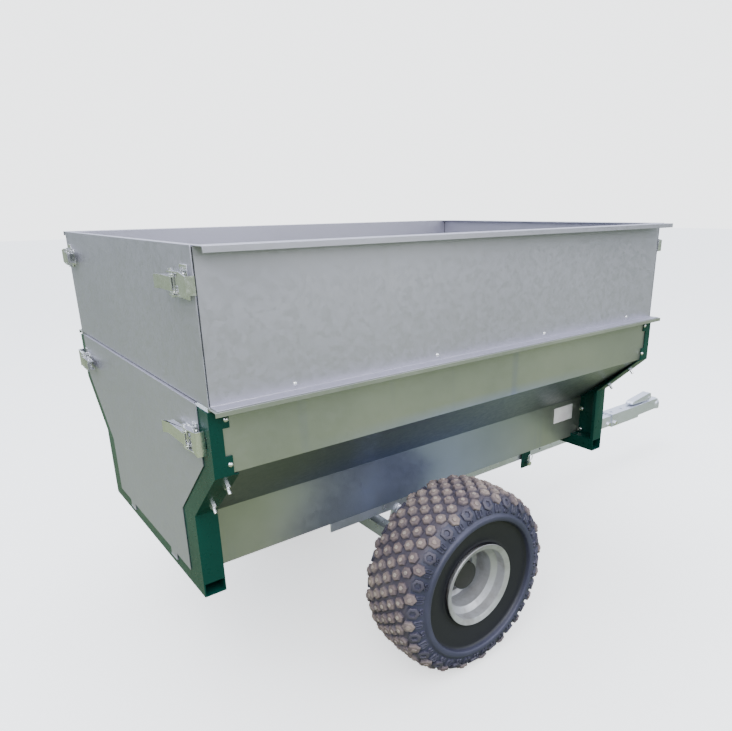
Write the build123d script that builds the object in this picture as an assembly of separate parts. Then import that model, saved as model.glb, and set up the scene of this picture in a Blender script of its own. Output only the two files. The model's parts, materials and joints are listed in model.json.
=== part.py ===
"""Single-axle tipping trailer with a bolt-on extension frame, in millimetres.

X points forward to the coupling, Y to the left and Z up. While the pieces are drawn, X is 0 at the
rear end of the box, Y is 0 on the centre line and Z is 0 on the ground. place() moves the finished
pieces so that the origin lies under the middle of the whole trailer.
"""

from build123d import *
import os
from math import cos, pi, sin, sqrt

# ---- Driving dimensions ------------------------------------------------------------------------
BOX_LENGTH = 1480.0
BOX_HALF_WIDTH = 500.0
TUB_HALF_WIDTH = 260.0  # outer face of the narrow lower wall
SHEET = 2.0  # galvanised sheet
POST_SHEET = 3.0  # folded corner posts
Z_FLOOR = 375.0
Z_LOW_KNEE = 518.0
Z_HIGH_KNEE = 708.0
Z_RIM = 846.0  # top of the tub, where the extension frame stands
Z_TOP = 1138.0
RIM_LIP = 34.0
TOP_LIP = 45.0
TOP_LIP_DROP = 12.0
RIM_LIP_DROP = 10.0

AXLE_X = 622.0
WHEEL_RADIUS = 254.0
TYRE_WIDTH = 216.0
WHEEL_Y = 512.0  # middle plane of a wheel
TIP_PIVOT_Z = 338.0
BEAM_SIZE = 40.0
BEAM_Z = 240.0

DRAWBAR_SIZE = 50.0
DRAWBAR_Z = 226.0
DRAWBAR_REAR = 545.0
DRAWBAR_FRONT = 2240.0
BALL_X = 2466.0
BALL_RADIUS = 25.4  # socket wall, for a 50 mm ball

RUNNING_GAP = 0.05  # radial, between a pin and the piece that turns on it
TRAILER_REAR = -36.7  # rearmost point, on the tailgate's levers
TRAILER_FRONT = BALL_X + 33.0
X_MIDDLE = (TRAILER_REAR + TRAILER_FRONT) / 2


# ---- Small modelling helpers -------------------------------------------------------------------
def block(x, y, z):
    """A box given by its (low, high) pairs along X, Y and Z."""
    size = [high - low for low, high in (x, y, z)]
    middle = [(low + high) / 2 for low, high in (x, y, z)]
    return Pos(*middle) * Box(*size)


def outline(points):
    return make_face(Polyline(*points, close=True))


def plate_x(points, low, high):
    """A plate with its outline in (Y, Z), between two X positions."""
    return extrude(Plane.YZ.offset(low) * outline(points), high - low)


def plate_y(points, low, high):
    """A plate with its outline in (X, Z), between two Y positions."""
    return extrude(Plane.XZ.offset(-high) * outline(points), high - low)


def plate_z(points, low, high):
    """A plate with its outline in (X, Y), between two Z positions."""
    return extrude(Plane.XY.offset(low) * outline(points), high - low)


def rod_x(radius, low, high, y, z):
    return Pos((low + high) / 2, y, z) * Rot(0, 90, 0) * Cylinder(radius, high - low)


def rod_y(radius, low, high, x, z):
    return Pos(x, (low + high) / 2, z) * Rot(90, 0, 0) * Cylinder(radius, high - low)


def rod_z(radius, low, high, x, y):
    return Pos(x, y, (low + high) / 2) * Cylinder(radius, high - low)


def nut_y(across_flats, low, high, x, z):
    """A hexagon with its axis along Y."""
    hexagon = RegularPolygon(across_flats / sqrt(3), 6)
    return Pos(x, high, z) * Rot(90, 0, 0) * extrude(hexagon, high - low)


def nut_x(across_flats, low, high, y, z):
    """A hexagon with its axis along X."""
    hexagon = RegularPolygon(across_flats / sqrt(3), 6)
    return Pos(low, y, z) * Rot(0, 90, 0) * extrude(hexagon, high - low)


def bent(points, thickness):
    """Outline of a bent strip: the polyline and its mitred offset to the left."""
    offset = []
    last = len(points) - 1
    for i, (px, py) in enumerate(points):
        ways = []
        for a, b in ((i - 1, i), (i, i + 1)):
            if a >= 0 and b <= last:
                dx, dy = points[b][0] - points[a][0], points[b][1] - points[a][1]
                length = sqrt(dx * dx + dy * dy)
                ways.append((-dy / length, dx / length))
        nx, ny = ways[0][0] + ways[-1][0], ways[0][1] + ways[-1][1]
        scale = 2 * thickness / (nx * nx + ny * ny)
        offset.append((px + nx * scale, py + ny * scale))
    return points + offset[::-1]


def turned_y(points, x, z):
    """A body of revolution about an axis along Y; points are (radius, y)."""
    return Pos(x, 0, z) * revolve(outline(points), Axis.Y, 360)


def across(piece):
    """The same piece on the other side of the centre line."""
    return mirror(piece, Plane.XZ)


def end_for_end(piece):
    """The same piece at the front end of the box."""
    return mirror(piece, Plane.YZ.offset(BOX_LENGTH / 2))


def pair(piece):
    """A piece and its mirror image, as two separate solids."""
    return Compound(children=[*piece.solids(), *across(piece).solids()])


def group(pieces):
    """Separate solids that share one node."""
    return Compound(children=[solid for piece in pieces for solid in piece.solids()])


# ---- Corner posts and cross members ------------------------------------------------------------
WEB_REAR = -6.0  # rear face of the rear posts' webs
WEB_FRONT = WEB_REAR + POST_SHEET
POST_DEPTH = 50.0
POST_TOP = 838.0
REAR_MEMBER_Z = (364.0, 399.0)
FRONT_MEMBER_Z = (341.0, 383.0)
MEMBER_WALL = 3.0
POST_OUT_HIGH = BOX_HALF_WIDTH + POST_SHEET
POST_OUT_LOW = 357.0
POST_Z_HIGH = 705.0
POST_Z_LOW = 568.0
POST_IN_HIGH = 440.0
POST_IN_LOW = 248.0
POST_LIP = 12.0
SLOT_Y = 477.0  # the tailgate latches' slots in the webs
SLOT_Z = 772.0
HOOK_Y = 170.0  # the tailgate's hooks
HOOK_WIDTH = 40.0
HOOK_Z = 383.0


def post(foot):
    """Right rear corner post: a web facing rearwards and a flange folded forward round its edge."""
    outer = [(POST_OUT_HIGH, POST_TOP), (POST_OUT_HIGH, POST_Z_HIGH)]
    outer += [(POST_OUT_LOW, POST_Z_LOW), (POST_OUT_LOW, foot)]
    inner = [(POST_IN_LOW, foot), (POST_IN_LOW, 537), (POST_IN_HIGH, 712), (POST_IN_HIGH, POST_TOP)]
    web = plate_x([(-y, z) for y, z in outer + inner], WEB_REAR, WEB_FRONT)
    deep = WEB_REAR + POST_DEPTH
    fold = bent([(-y, z) for y, z in reversed(outer)], -POST_SHEET)
    flange = plate_x(fold, WEB_REAR, deep)
    # the upper flange is narrow, with a wide tab at its top and its bottom
    recess_low, recess_high, tab_depth, narrow = 745.0, 802.0, 34.0, 20.0
    flange -= block((narrow, deep + 1), (-510, -495), (recess_low, recess_high))
    flange -= block((tab_depth, deep + 1), (-510, -499.5), (POST_Z_HIGH - 1, POST_TOP + 1))
    flange -= block((narrow, deep + 1), (-510, -495), (826, POST_TOP + 1))
    lip = block((deep - POST_SHEET, deep), (-POST_OUT_LOW, POST_LIP - POST_OUT_LOW), (foot, POST_Z_LOW - 6))
    slot = block((WEB_REAR - 1, WEB_FRONT + 1), (-SLOT_Y - 5, -SLOT_Y + 2.5), (SLOT_Z - 12, SLOT_Z + 12))
    return web + flange + lip - slot


def cross_member(z_range):
    """Rectangular tube across the bottom of two posts, open at both ends."""
    x, y = (WEB_REAR, WEB_REAR + POST_DEPTH), (-POST_OUT_LOW, POST_OUT_LOW)
    tube = block(x, y, z_range)
    inside = [(low + MEMBER_WALL, high - MEMBER_WALL) for low, high in (x, z_range)]
    return tube - block(inside[0], (y[0] - 1, y[1] + 1), inside[1])


def rear_member():
    """The rear tube, with the two slots that the tailgate hooks into and a row of drain holes."""
    tube = cross_member(REAR_MEMBER_Z)
    for y in (-HOOK_Y, HOOK_Y):
        half = HOOK_WIDTH / 2 + 3
        tube -= block((WEB_REAR - 1, WEB_FRONT + 1), (y - half, y + half), (HOOK_Z - 3, HOOK_Z + 13.2))
    return tube


# ---- Tub ---------------------------------------------------------------------------------------
def tub_side():
    """Right side panel of the tub: four folds from the floor flange up to the rim lip."""
    path = [
        (-TUB_HALF_WIDTH + 34, Z_FLOOR - 2 * SHEET),
        (-TUB_HALF_WIDTH, Z_FLOOR - 2 * SHEET),
        (-TUB_HALF_WIDTH, Z_LOW_KNEE),
        (-BOX_HALF_WIDTH, Z_HIGH_KNEE),
        (-BOX_HALF_WIDTH, Z_RIM - SHEET),
        (-BOX_HALF_WIDTH - RIM_LIP, Z_RIM - SHEET),
        (-BOX_HALF_WIDTH - RIM_LIP, Z_RIM - RIM_LIP_DROP),
    ]
    panel = plate_x(bent(path, -SHEET), WEB_FRONT, BOX_LENGTH - WEB_FRONT)
    # the floor flange and the foot of the wall stop at the two cross members
    member_end = WEB_REAR + POST_DEPTH
    panel -= block((WEB_FRONT - 1, member_end), (-270, -200), (350, REAR_MEMBER_Z[1]))
    panel -= block((BOX_LENGTH - member_end, BOX_LENGTH + 10), (-270, -200), (350, FRONT_MEMBER_Z[1]))
    return panel


def tub_outline(inset):
    """Inner cross-section of the tub as (Y, Z) points, drawn in by inset."""
    low, high = TUB_HALF_WIDTH - SHEET - inset, BOX_HALF_WIDTH - SHEET - inset
    right = [(-low, Z_FLOOR), (-low, Z_LOW_KNEE + 1), (-high, Z_HIGH_KNEE + 1), (-high, Z_RIM - SHEET)]
    return right + [(-y, z) for y, z in reversed(right)]


def tub_front():
    """Front panel of the tub, with a stiffening flange along its top."""
    rear_face = BOX_LENGTH - WEB_FRONT - SHEET
    panel = plate_x(tub_outline(0.3), rear_face, rear_face + SHEET)
    panel -= block((rear_face - 1, rear_face + 5), (-300, 300), (350, FRONT_MEMBER_Z[1] + 0.2))
    flange_y = POST_IN_HIGH - 2
    flange_z = (Z_RIM - 2 * SHEET, Z_RIM - SHEET)
    return panel + block((rear_face, rear_face + 25), (-flange_y, flange_y), flange_z)


def tub_floor():
    member_end = WEB_REAR + POST_DEPTH
    half = TUB_HALF_WIDTH - SHEET
    return block((member_end, BOX_LENGTH - member_end), (-half, half), (Z_FLOOR - SHEET, Z_FLOOR))


def bearer():
    """Angle rail under the right edge of the floor, with the lug that turns on the pivot bolt."""
    outer, leg, wall = -TUB_HALF_WIDTH + 2, 40.0, 4.0
    low, high, foot_half, eye_half = 344.0, Z_FLOOR - 2 * SHEET, 45.0, 18.0
    x = (386.0, 2 * AXLE_X - 386.0)
    angle = block(x, (outer, outer + wall), (low, high))
    angle += block(x, (outer, outer + leg), (high - wall, high))
    lug_outline = [(AXLE_X - foot_half, high), (AXLE_X + foot_half, high)]
    lug_outline += [(AXLE_X + eye_half, TIP_PIVOT_Z), (AXLE_X - eye_half, TIP_PIVOT_Z)]
    lug = plate_y(lug_outline, outer, outer + wall)
    lug += rod_y(20, outer, outer + wall, AXLE_X, TIP_PIVOT_Z)
    return angle + lug - rod_y(8 + RUNNING_GAP, outer - 1, outer + wall + 1, AXLE_X, TIP_PIVOT_Z)


REST_PAD_FOOT = 318.0
LOCK_X = 1458.0
LOCK_Z = 187.0
LOCK_PIN_RADIUS = 6.0


def lock_bracket():
    """Inverted U under the front cross member, straddling the drawbar."""
    x, top, foot, half, wall = (LOCK_X - 26, LOCK_X + 26), FRONT_MEMBER_Z[0], 165.0, 35.0, 4.0
    bracket = block(x, (-half, half), (foot, top))
    bracket -= block((x[0] - 1, x[1] + 1), (wall - half, half - wall), (foot - 1, top - wall))
    return bracket - rod_y(LOCK_PIN_RADIUS + 0.3, -half - 1, half + 1, LOCK_X, LOCK_Z)


def lock_pin():
    """Short cross pin, drawn back so that its tip is clear of the drawbar."""
    tip, head = -27.0, -58.0
    pin = rod_y(LOCK_PIN_RADIUS, head, tip, LOCK_X, LOCK_Z) + rod_y(9, head, head + 6, LOCK_X, LOCK_Z)
    return pin - rod_z(2.2, LOCK_Z - 12, LOCK_Z + 12, LOCK_X, head + 12)


def lock_clip():
    """Linch pin through the head of the cross pin, with its ring folded down beside it."""
    y = -46.0
    stem = rod_z(2.0, LOCK_Z - 13, LOCK_Z + 20, LOCK_X, y)
    ring = Pos(LOCK_X + 13, y, LOCK_Z + 20) * Rot(90, 0, 0) * Torus(13, 1.6)
    return stem + ring


def label_plate():
    return block((1330, 1434), (-TUB_HALF_WIDTH - 0.6, -TUB_HALF_WIDTH), (444, 500))


def dome_bolt_y(x, z, face, radius=6.5, height=4.0):
    """Dome head on the right side, standing out from the face at y = face towards -Y."""
    ball = radius * radius / (2 * height) + height / 2
    dome = Pos(x, face - height + ball, z) * Sphere(ball)
    wide = 2 * ball
    return dome - block((x - wide, x + wide), (face, face + 2 * wide), (z - wide, z + wide))


def post_bolts():
    """Dome-head bolts through the posts' tabs, and hexagon bolts through the slanted flanges."""
    pieces = []
    for z in (819.0, 727.0):
        pieces.append(dome_bolt_y(28, z, -POST_OUT_HIGH, 5.5))
    way_y, way_z = POST_OUT_HIGH - POST_OUT_LOW, POST_Z_HIGH - POST_Z_LOW
    run = sqrt(way_y * way_y + way_z * way_z)
    for x, share in ((30.0, 0.26), (24.0, 0.78)):
        y, z = -(POST_OUT_HIGH - share * way_y), POST_Z_HIGH - share * way_z
        flange = Plane((x, y, z), x_dir=(1, 0, 0), z_dir=(0, -way_z / run, -way_y / run))
        bolt = extrude(RegularPolygon(7.5, 6), 7) + Pos(0, 0, 10) * Cylinder(4, 20)
        pieces.append(flange * bolt)
    rear = group(pieces)
    front = end_for_end(rear)
    web, stud_y = BOX_LENGTH - WEB_FRONT, -272.0
    for z in (474.0, 394.0):
        stud = rod_x(4, web - 18, web, stud_y, z) + nut_x(13, web - 7, web, stud_y, z)
        front = group([front, stud])
    return pair(group([rear, front]))


# ---- Extension frame ---------------------------------------------------------------------------
LATCH_Z = 1070.0
SIDE_END_GAP = 0.5


def extension_side():
    """Right extension panel: foot flange on the rim, wall, and a lip with a turned-down edge."""
    path = [
        (-BOX_HALF_WIDTH - RIM_LIP + 2, Z_RIM),
        (-BOX_HALF_WIDTH, Z_RIM),
        (-BOX_HALF_WIDTH, Z_TOP),
        (-BOX_HALF_WIDTH - TOP_LIP, Z_TOP),
        (-BOX_HALF_WIDTH - TOP_LIP, Z_TOP - TOP_LIP_DROP),
    ]
    foot = plate_x(bent(path[:2], SHEET), SIDE_END_GAP, BOX_LENGTH - SIDE_END_GAP)
    inner = SHEET - BOX_HALF_WIDTH
    wall = block((SIDE_END_GAP, BOX_LENGTH - SIDE_END_GAP), (-BOX_HALF_WIDTH, inner), (Z_RIM, Z_TOP))
    lip = plate_x(bent(path[2:], SHEET), SIDE_END_GAP, BOX_LENGTH - SIDE_END_GAP)
    return foot + wall + lip


def extension_rear():
    """Rear extension panel: a flat sheet with a hem folded forward at its top and its bottom."""
    sheet = block((-SHEET, 0), (-BOX_HALF_WIDTH, BOX_HALF_WIDTH), (Z_RIM, Z_TOP))
    hem = BOX_HALF_WIDTH - SHEET - 1.5
    for z in (Z_RIM, Z_TOP - SHEET):
        sheet += block((-SHEET, 14), (-hem, hem), (z, z + SHEET))
    return sheet


def extension_front():
    """Front extension panel: as the rear one, with its top lip turned forward."""
    panel = end_for_end(extension_rear())
    path = [(BOX_LENGTH + 40, Z_TOP - TOP_LIP_DROP), (BOX_LENGTH + 40, Z_TOP), (BOX_LENGTH, Z_TOP)]
    half = BOX_HALF_WIDTH - 8
    return panel + plate_y(bent(path, SHEET), -half, half)


def rim_screws():
    """Dome-head screws along the feet of the extension's side panels, right side and left side."""
    heads = [dome_bolt_y(x, Z_RIM + 14, -BOX_HALF_WIDTH, 5, 3) for x in (180.0, 560.0, 950.0, 1344.0)]
    return pair(group(heads))


# ---- Tailgate ----------------------------------------------------------------------------------
GATE_REAR = -8.5
GATE_FOOT = 401.0
GATE_AXIS_X = GATE_REAR + SHEET / 2
HOOK_ROLL = 2.2  # radius of the rolled edge that the gate turns on


def tailgate():
    """Flat gate that covers the opening between the webs and hooks into the rear cross member."""
    right = [(-453.0, Z_RIM - SHEET), (-453.0, 717.0), (-284.0, 560.0), (-284.0, GATE_FOOT)]
    gate = plate_x(right + [(-y, z) for y, z in reversed(right)], GATE_REAR, GATE_REAR + SHEET)
    hem = POST_IN_HIGH - 3
    gate += block((GATE_REAR, 14), (-hem, hem), (Z_RIM - 2 * SHEET, Z_RIM - SHEET))
    for y in (-HOOK_Y, HOOK_Y):
        width = (y - HOOK_WIDTH / 2, y + HOOK_WIDTH / 2)
        gate += block((GATE_REAR, GATE_REAR + SHEET), width, (HOOK_Z - SHEET / 2, GATE_FOOT))
        gate += block((GATE_REAR, GATE_AXIS_X + 11.5), width, (HOOK_Z - SHEET / 2, HOOK_Z + SHEET / 2))
        gate += rod_y(HOOK_ROLL, *width, GATE_AXIS_X, HOOK_Z)
    return gate


# ---- Over-centre corner latches ----------------------------------------------------------------
# A latch is drawn flat: X runs along the panel to the corner, Y stands out from the panel and Z is
# down the panel. Its origin lies on the panel under the lever's pivot.
LATCH_PIVOT_OUT = 14.0
LATCH_THROW = 12.0
CLAW_PIN_OUT = 13.0
LATCH_PIN_RADIUS = 3.0
LEVER_TIP = 12.0
LEVER_HALF = 13.0
CHEEK = 2.0
EAR = (14.0, 17.0)
ARM = (19.5, 22.0)
ARM_FRONT = 34.0
CLAW_SHEET = 2.5
CLAW_OUT = 16.0  # outer face of the claw's plate
CLAW_STOP = -1.4  # the end plate stops just short of what it bears on
CORNER_REACH = 60.0  # from the lever's pivot to the panel's edge
TONGUE_REACH = 52.0  # from the lever's pivot to the slot in the post's web
PANEL_LATCH = {"lever": 56.0, "end": CORNER_REACH + 3.1, "half": 17.0, "plate": 40.0, "tongue": 0.0}
GATE_LATCH = {"lever": 92.0, "end": TONGUE_REACH + 1.25, "half": 25.0, "plate": 26.0, "tongue": -9.0}


def latch_base(size):
    """Riveted bracket: a stepped plate, two ears and the pin that the lever turns on."""
    plate = block((-30, 25), (0, 2.5), (-22, 22)) + block((2, size["plate"]), (0, 2.5), (-34, 28))
    for low, high in (EAR, (-EAR[1], -EAR[0])):
        plate += block((-8, 8), (0, LATCH_PIVOT_OUT), (low, high)) + rod_z(8, low, high, 0, LATCH_PIVOT_OUT)
    pin = rod_z(LATCH_PIN_RADIUS, -EAR[1] - 1.5, EAR[1] + 1.5, 0, LATCH_PIVOT_OUT)
    rivets = [rod_y(3.5, 2.5, 4.2, x, z) for x in (-23.0, 18.5) for z in (-16.0, 16.0)]
    return group([plate - pin, pin] + rivets)


def latch_lever(size):
    """Pressed channel with a finger lip, and the claw's pin riveted through it."""
    end, back, top = -size["lever"], 22.0, 19.8
    side = [(end, 8), (end, back), (4, back), (8, LATCH_PIVOT_OUT), (0, LATCH_PIVOT_OUT - 8), (-20, 6)]
    inside = LEVER_HALF - CHEEK
    lever = plate_z(side, -LEVER_HALF, LEVER_HALF) - block((end - 1, 20), (0, top), (-inside, inside))
    for low, high in ((-LEVER_HALF, -inside), (inside, LEVER_HALF)):
        lever += rod_z(8, low, high, 0, LATCH_PIVOT_OUT)
    lip = [(end - LEVER_TIP, 26), (end - LEVER_TIP, 28.2), (end, back), (end + 6, top)]
    lever += plate_z(lip, -LEVER_HALF, LEVER_HALF)
    lever -= rod_z(LATCH_PIN_RADIUS + RUNNING_GAP, -14, 14, 0, LATCH_PIVOT_OUT)
    pin = rod_z(LATCH_PIN_RADIUS, -25, 25, -LATCH_THROW, CLAW_PIN_OUT)
    for low, high in ((-26, -24), (24, 26)):
        pin += rod_z(4.5, low, high, -LATCH_THROW, CLAW_PIN_OUT)
    return lever + pin


def latch_claw(size):
    """Two arms on the lever's claw pin, joined by a tapered plate that turns in at the corner."""
    pin_x, end, half = -LATCH_THROW, size["end"], size["half"]
    arm = [(pin_x - 6, 7.5), (pin_x - 6, 19), (0, 19), (ARM_FRONT, CLAW_OUT), (ARM_FRONT, 10.5), (6, 6)]
    claw = plate_z(arm, *ARM) + plate_z(arm, -ARM[1], -ARM[0])
    start, low = ARM_FRONT - 7, CLAW_OUT - CLAW_SHEET
    wide = ARM[1]
    plate = [(start, -wide), (ARM_FRONT, -wide), (end, -half)]
    plate += [(x, -z) for x, z in reversed(plate)]
    claw += plate_y(plate, low, CLAW_OUT)
    claw += block((end - CLAW_SHEET, end), (CLAW_STOP, CLAW_OUT), (-half, half))
    if size["tongue"]:
        claw += block((end - CLAW_SHEET, end), (size["tongue"], CLAW_STOP + 1), (-9, 9))
    return claw - rod_z(LATCH_PIN_RADIUS + RUNNING_GAP, -30, 30, pin_x, CLAW_PIN_OUT)


def on_rear(piece, face, y, z):
    """Puts a flat-drawn latch piece on a rear-facing panel, its claw towards the right side."""
    return Plane((face, y, z), x_dir=(0, -1, 0), z_dir=(0, 0, -1)).location * piece


# ---- Chassis -----------------------------------------------------------------------------------
def square_tube(length_range, size, wall, z):
    half, bore = size / 2, size / 2 - wall
    tube = block(length_range, (-half, half), (z - half, z + half))
    return tube - block((length_range[0] - 1, length_range[1] + 1), (-bore, bore), (z - bore, z + bore))


def drawbar():
    """Square tube with the short welded post that carries the rest pad."""
    tube = square_tube((DRAWBAR_REAR, DRAWBAR_FRONT), DRAWBAR_SIZE, 4, DRAWBAR_Z)
    top = DRAWBAR_Z + DRAWBAR_SIZE / 2
    return tube + block((1440, 1476), (-18, 18), (top, REST_PAD_FOOT)) - rod_y(4.5, -30, 30, 1556, 217)


def drawbar_cap():
    """Moulded plug in the drawbar's open rear end."""
    half, bore, x = DRAWBAR_SIZE / 2, DRAWBAR_SIZE / 2 - 4, DRAWBAR_REAR
    head = block((x - 4, x), (-half, half), (DRAWBAR_Z - half, DRAWBAR_Z + half))
    return head + block((x, x + 15), (-bore, bore), (DRAWBAR_Z - bore, DRAWBAR_Z + bore))


BEAM_END = 345.0
SPINDLE_SEAT = 410.0


def axle_beam():
    """Right half of the axle: a square tube butted on the drawbar, with its gusset and upright."""
    half, bore = BEAM_SIZE / 2, BEAM_SIZE / 2 - 4
    y = (-BEAM_END, -DRAWBAR_SIZE / 2)
    beam = block((AXLE_X - half, AXLE_X + half), y, (BEAM_Z - half, BEAM_Z + half))
    beam -= block((AXLE_X - bore, AXLE_X + bore), (y[0] - 1, y[1] + 1), (BEAM_Z - bore, BEAM_Z + bore))
    return beam + gusset() + upright()


def spindle():
    """Right spindle: plate, shoulder, bearing seat and a plain end for the nut."""
    plate = block((AXLE_X - 30, AXLE_X + 30), (-BEAM_END - 8, -BEAM_END), (BEAM_Z - 24, BEAM_Z + 44))
    shaft = rod_y(20, -SPINDLE_SEAT, -BEAM_END - 8, AXLE_X, WHEEL_RADIUS)
    shaft += rod_y(15, -508, -SPINDLE_SEAT, AXLE_X, WHEEL_RADIUS)
    shaft += rod_y(11, -530, -508, AXLE_X, WHEEL_RADIUS)
    return plate + shaft


def spindle_nut():
    washer = rod_y(17, -511, -508, AXLE_X, WHEEL_RADIUS)
    nut = washer + nut_y(32, -525, -511, AXLE_X, WHEEL_RADIUS)
    return nut - rod_y(11, -540, -500, AXLE_X, WHEEL_RADIUS)


def gusset():
    """Flat triangle welded in the corner between the drawbar and the right half of the axle."""
    half, beam = DRAWBAR_SIZE / 2, BEAM_SIZE / 2
    corner = [(AXLE_X + beam, -half), (AXLE_X + beam + 90, -half), (AXLE_X + beam, -half - 90)]
    return plate_z(corner, BEAM_Z - 3, BEAM_Z + 3)


def upright():
    """Right pivot plate that stands on the axle beam."""
    y, top = (-252.5, -244.5), BEAM_Z + BEAM_SIZE / 2
    foot = [(AXLE_X - 40, top), (AXLE_X + 40, top), (AXLE_X + 20, TIP_PIVOT_Z), (AXLE_X - 20, TIP_PIVOT_Z)]
    plate = plate_y(foot, *y) + rod_y(20, y[0], y[1], AXLE_X, TIP_PIVOT_Z)
    return plate - rod_y(8, y[0] - 1, y[1] + 1, AXLE_X, TIP_PIVOT_Z)


def pivot_bolt():
    """Right pivot bolt: hexagon head outside, shank through the lug and the upright, nut inside."""
    shank = rod_y(8, -262, -238, AXLE_X, TIP_PIVOT_Z)
    head = nut_y(24, -268, -259, AXLE_X, TIP_PIVOT_Z) + rod_y(14, -260, -258.4, AXLE_X, TIP_PIVOT_Z)
    nut = nut_y(24, -244.5, -234, AXLE_X, TIP_PIVOT_Z)
    return shank + head + nut


def rest_pad():
    """Rubber pad on which the front of the tub stands, with a hair of room under the bracket."""
    return block((1438, 1478), (-20, 20), (REST_PAD_FOOT, FRONT_MEMBER_Z[0] - 4.0 - 0.1))


# ---- Coupling ----------------------------------------------------------------------------------
SLEEVE_X = (2069.0, 2292.0)
HEAD_RADIUS = 33.0
HANDLE_X = 2400.0
HANDLE_Z = 272.0
SKIRT = 20.0
NECK_TOP = 257.0


def coupling_body():
    """Pressed ball coupling: a square sleeve round the drawbar, a channel neck and a cupped head."""
    half = DRAWBAR_SIZE / 2
    rear, front = SLEEVE_X
    low, foot = DRAWBAR_Z - half, DRAWBAR_Z - SKIRT
    sleeve = block(SLEEVE_X, (-half - 6, half + 6), (low - 5, DRAWBAR_Z + half + 6))
    sleeve -= block((rear - 1, DRAWBAR_FRONT), (-half, half), (low, DRAWBAR_Z + half))
    sleeve -= block((DRAWBAR_FRONT - 1, front + 1), (-half + 2, half - 2), (low - 6, DRAWBAR_Z + half))
    taper = [(front, 31), (BALL_X - 20, 26), (BALL_X, 26)]
    neck = plate_z(taper + [(x, -y) for x, y in reversed(taper)], foot, NECK_TOP)
    hollow = [(front - 1, 26), (BALL_X - 28, 22), (BALL_X - 28, -22), (front - 1, -26)]
    neck -= plate_z(hollow, foot - 1, NECK_TOP - 6)
    centre = Pos(BALL_X, 0, DRAWBAR_Z)
    head = rod_z(HEAD_RADIUS, foot, DRAWBAR_Z, BALL_X, 0) + centre * Sphere(HEAD_RADIUS)
    head -= block((2400, 2520), (-60, 60), (150, foot))
    body = sleeve + neck + head
    body -= rod_z(BALL_RADIUS, 150, DRAWBAR_Z, BALL_X, 0) + centre * Sphere(BALL_RADIUS)
    body -= block((BALL_X - 56, BALL_X - 15), (-12.5, 12.5), (213, 240))
    for y in (-13.0, 10.0):
        ear = block((HANDLE_X - 12, HANDLE_X + 12), (y, y + 3), (250, HANDLE_Z))
        ear += rod_y(12, y, y + 3, HANDLE_X, HANDLE_Z)
        body += ear - rod_y(4, y - 1, y + 4, HANDLE_X, HANDLE_Z)
    for x in (2101.0, 2180.0):
        body -= rod_z(7, 250, 260, x, 0)
    return body


def coupling_keeper():
    """Wedge behind the ball, drawn rearwards by the handle."""
    tip = BALL_X - BALL_RADIUS - 0.4
    return block((tip - 22, tip), (-11.5, 11.5), (214.5, 238.5))


def coupling_handle():
    """Pressed cover handle, lying rearwards on the coupling and a little raised at its pivot end."""
    side = [(-148, 264), (-150, 270), (-143, 277), (0, 297), (12, 292), (14, 276), (0, 262)]
    inner = [(-160, 250), (-140, 274), (0, 294), (8, 289), (30, 276), (30, 250)]
    shell = plate_y([(HANDLE_X + x, z) for x, z in side], -19, 19)
    shell -= plate_y([(HANDLE_X + x, z) for x, z in inner], -16, 16)
    return shell - rod_y(4 + RUNNING_GAP, -20, 20, HANDLE_X, HANDLE_Z)


def coupling_pin():
    pin = rod_y(4, -21, 21, HANDLE_X, HANDLE_Z)
    for low, high in ((-22.5, -19.3), (19.3, 22.5)):
        pin += rod_y(6, low, high, HANDLE_X, HANDLE_Z)
    return pin


def coupling_bolts():
    """Two bolts across the drawbar: one just behind the sleeve and one through it."""
    pieces = []
    for x, half in ((2050.0, 25.0), (2094.0, 31.0)):
        pieces += [nut_y(17, -half - 8, -half, x, 213), nut_y(17, half, half + 8, x, 213)]
    return group(pieces)


# ---- Wheels ------------------------------------------------------------------------------------
RIM_WALL = 3.0
HUB_IN, HUB_OUT = -412.0, -506.0
BEARING_RADIUS = 31.0
BEARING_WIDTH = 16.0
STUD_CIRCLE = 50.0


def tyre():
    """Right tyre: rounded tread, bulging walls and beads on the rim, hollow inside."""
    half, low = TYRE_WIDTH / 2, -WHEEL_Y
    outer = [(104, 84), (116, 88), (128, 93), (165, 105), (196, half), (222, 104), (240, 92)]
    outer += [(250, 71), (WHEEL_RADIUS, 37)]
    inner = [(240, 37), (236, 66), (224, 85), (200, 95), (170, 91), (135, 75), (104, 71)]
    section = [(r, low + y) for r, y in outer] + [(r, low - y) for r, y in reversed(outer)]
    section += [(r, low - y) for r, y in reversed(inner)] + [(r, low + y) for r, y in inner]
    return turned_y(section, AXLE_X, WHEEL_RADIUS)


def rim():
    """Right rim: a rolled barrel with a drop centre and a stepped disc bolted to the hub."""
    low = -WHEEL_Y
    barrel = [(113, -88), (101, -83), (99, -57), (84, -47), (84, 15), (97, 57), (101, 83), (113, 88)]
    tube = turned_y(bent([(r, low + y) for r, y in barrel], RIM_WALL), AXLE_X, WHEEL_RADIUS)
    disc_y = -478.0
    disc = [(82.5, disc_y - 26), (70, disc_y - 22), (66, disc_y), (39, disc_y)]
    disc = turned_y(bent(disc, RIM_WALL), AXLE_X, WHEEL_RADIUS)
    near, far = disc_y - 22.5, disc_y - 28.5
    disc += turned_y([(81, near), (81, far), (84.5, far), (84.5, near)], AXLE_X, WHEEL_RADIUS)
    for x, z in stud_places():
        disc -= rod_y(7, disc_y - 10, disc_y + 10, x, z)
    return tube + disc


def stud_places():
    turns = [pi / 4 + i * pi / 2 for i in range(4)]
    return [(AXLE_X + STUD_CIRCLE * cos(a), WHEEL_RADIUS + STUD_CIRCLE * sin(a)) for a in turns]


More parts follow.
